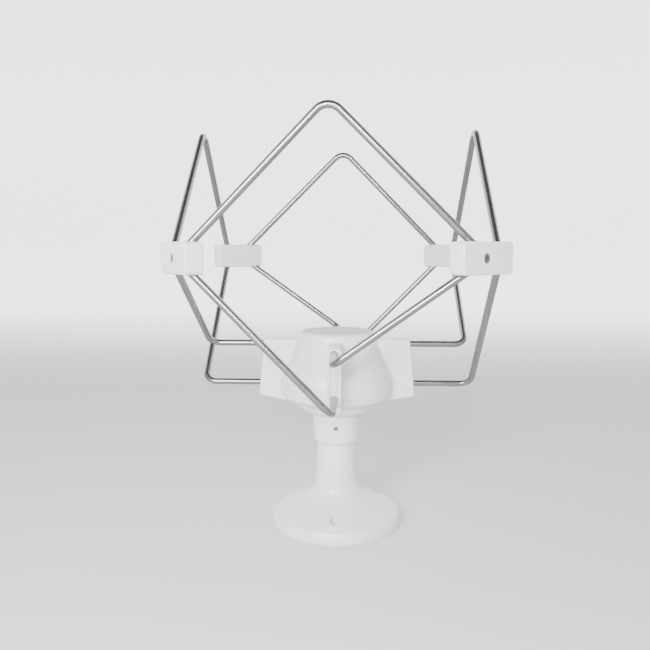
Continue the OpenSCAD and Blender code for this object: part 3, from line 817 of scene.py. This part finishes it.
screwSizes = {  # in mm
    "clip": {"headRadius": 2.85, "headHeight": 1.5, "shank": 1.4, "length": 8},
    "cover": {"headRadius": 2.9, "headHeight": 1.8, "shank": 1.4, "length": 14},
    "crossWidth": 0.75, "crossDepth": 2.4, "crossTurn": 0.5,
}


def crossScrew(size):  # head below z = 0, shank above
    r, high, shank, length = (size[key] for key in ("headRadius", "headHeight", "shank", "length"))
    outline = [(0, -high)] + arc((r - 0.7, -high + 0.7), 0.7, -90, 0, 6)
    outline += [(r, -0.1), (r - 0.1, 0), (shank, 0)]
    outline += [(shank, length - 0.6), (shank - 0.5, length), (0, length)]
    piece = toObject(lathe(outline, 48), "screw")
    cuts = []
    for turns in (0, 1):
        bm = block((r * 1.25, screwSizes["crossWidth"], screwSizes["crossDepth"]))
        for v in bm.verts:  # narrows towards its bottom
            if v.co.z > 0:
                v.co.x *= 0.45
                v.co.y *= 0.8
        bmesh.ops.translate(bm, verts=bm.verts, vec=Vector((0, 0, -high)) * mm)
        turnMesh(bm, quarter * turns + screwSizes["crossTurn"])
        cuts.append(bm)
    carve(piece, cuts)
    return piece


makeClips()
print("clips made")


# small screws that can be seen from outside

def makeCoverScrews():
    for k, corner in enumerate(corners):
        at = outwards(quarter * (k - 0.5), tray["screwRing"])
        piece = crossScrew(screwSizes["cover"])
        piece.data.transform(Matrix.Translation(above(at, tray["screwSeat"])))
        finishPiece(piece, "tray_screw_" + corner, "screw_steel", "head", ["cover_screw_" + corner])


lockScrew = {"radius": 1.6, "point": 1.1, "edge": 0.3, "cross": ((2.2, 2, 0.5), (0.5, 2, 2.2))}  # in mm


def makeLockScrew():
    low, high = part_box("lock_screw")
    radius, point, edge = lockScrew["radius"], lockScrew["point"], lockScrew["edge"]
    length, middle = (high.y - low.y) / mm, (low.z + high.z) / 2
    outline = [(0, 0), (point, 0), (radius, radius - point)]
    outline += [(radius, length - edge), (radius - edge, length), (0, length)]
    piece = toObject(lathe(outline, 40), "lock")
    piece.data.transform(Matrix.Translation((0, high.y, middle)) @ Matrix.Rotation(quarter, 4, "X"))
    slots = [block(size) for size in lockScrew["cross"]]
    for bm in slots:
        bmesh.ops.translate(bm, verts=bm.verts, vec=(0, low.y, middle))
    carve(piece, slots)
    finishPiece(piece, "collar_screw", "screw_steel", "lock_screw", ["lock_screw"])


makeCoverScrews()
makeLockScrew()
print("small screws made")


# stage, lights and camera

studio = {  # metres, watts
    "roomRadius": 3.5, "roomCurve": 0.9, "roomHeight": 5, "roomSteps": 96,
    "paperTone": 0.68, "glowFront": 0.06, "glowBack": 2.1, "glowStart": 0.45, "glowEnd": 1.9,
    "skyColour": (0.93, 0.94, 0.95, 1), "skyStrength": 0.30,
    "lights": [  # name, place, size, power
        ("key", (-0.32, -0.80, 0.40), 0.40, 14), ("flash", (0.0, -0.62, 0.33), 0.10, 3.2),
        ("fill", (0.9, -0.75, 0.30), 0.7, 1.5),
    ],
    "lightAim": (0, 0, 0.16),
}


def makeStage():  # a round room of studio paper, its floor curving up into a wall that glows at the back
    radius, bend = studio["roomRadius"], studio["roomCurve"]
    outline = [(0, 0), (radius - bend - 0.1, 0)] + arc((radius - bend, bend), bend, -90, 0, 16)
    outline += [(radius, studio["roomHeight"])]
    bm = bmesh.new()
    line = [bm.verts.new((x, 0, z)) for x, z in outline]
    edges = [bm.edges.new(pair) for pair in zip(line, line[1:])]
    bmesh.ops.spin(bm, geom=line + edges, cent=(0, 0, 0), axis=(0, 0, 1), angle=2 * pi,
                   steps=studio["roomSteps"], use_merge=True)
    bmesh.ops.remove_doubles(bm, verts=bm.verts, dist=1e-6)
    bmesh.ops.recalc_face_normals(bm, faces=bm.faces)
    if min(bm.faces, key=lambda f: f.calc_center_median().length).normal.z < 0:
        bmesh.ops.reverse_faces(bm, faces=bm.faces)
    paper = toObject(bm, "studio_paper")
    paper.data.shade_smooth()
    material, tree, shader = startMaterial("studio_paper")
    place = tree.nodes.new("ShaderNodeTexCoord").outputs["Object"]
    tone = studio["paperTone"]
    colour = blendColour(tree, noise(tree, place, 3), (tone - 0.01,) * 3, (tone,) * 3)
    tree.links.new(colour, shader.inputs["Base Color"])
    shader.inputs["Roughness"].default_value = 0.9
    shader.inputs["Emission Color"].default_value = (1, 1, 1, 1)
    depth = tree.nodes.new("ShaderNodeSeparateXYZ")
    tree.links.new(place, depth.inputs[0])
    glow = tree.nodes.new("ShaderNodeMapRange")
    glow.interpolation_type = "SMOOTHSTEP"
    ends = {"From Min": "glowStart", "From Max": "glowEnd", "To Min": "glowFront", "To Max": "glowBack"}
    for socket, value in ends.items():
        glow.inputs[socket].default_value = studio[value]
    tree.links.new(depth.outputs["Y"], glow.inputs["Value"])
    tree.links.new(glow.outputs["Result"], shader.inputs["Emission Strength"])
    paper.data.materials.append(material)
    world = bpy.data.worlds.new("studio")
    bpy.context.scene.world = world
    world.use_nodes = True
    background = world.node_tree.nodes["Background"]
    background.inputs["Color"].default_value = studio["skyColour"]
    background.inputs["Strength"].default_value = studio["skyStrength"]


def makeLights():
    aim = Vector(studio["lightAim"])
    for name, place, size, power in studio["lights"]:
        data = bpy.data.lights.new(name, "AREA")
        data.shape = "DISK"
        data.size = size
        data.energy = power
        light = bpy.data.objects.new(name, data)
        light.location = place
        light.rotation_euler = (aim - Vector(place)).to_track_quat("-Z", "Y").to_euler()
        bpy.context.scene.collection.objects.link(light)


viewpoint = {"lens": 35.13, "place": (0.0121, -0.5043, 0.2200), "tilt": 83.31, "turn": 2.44}


def makeCamera():
    data = bpy.data.cameras.new("view")
    data.lens = viewpoint["lens"]
    data.sensor_width = 36
    camera = bpy.data.objects.new("view", data)
    camera.location = viewpoint["place"]
    camera.rotation_euler = (radians(viewpoint["tilt"]), 0, radians(viewpoint["turn"]))
    bpy.context.scene.collection.objects.link(camera)
    bpy.context.scene.camera = camera


makeStage()
makeLights()
makeCamera()
print("stage, lights and camera made")
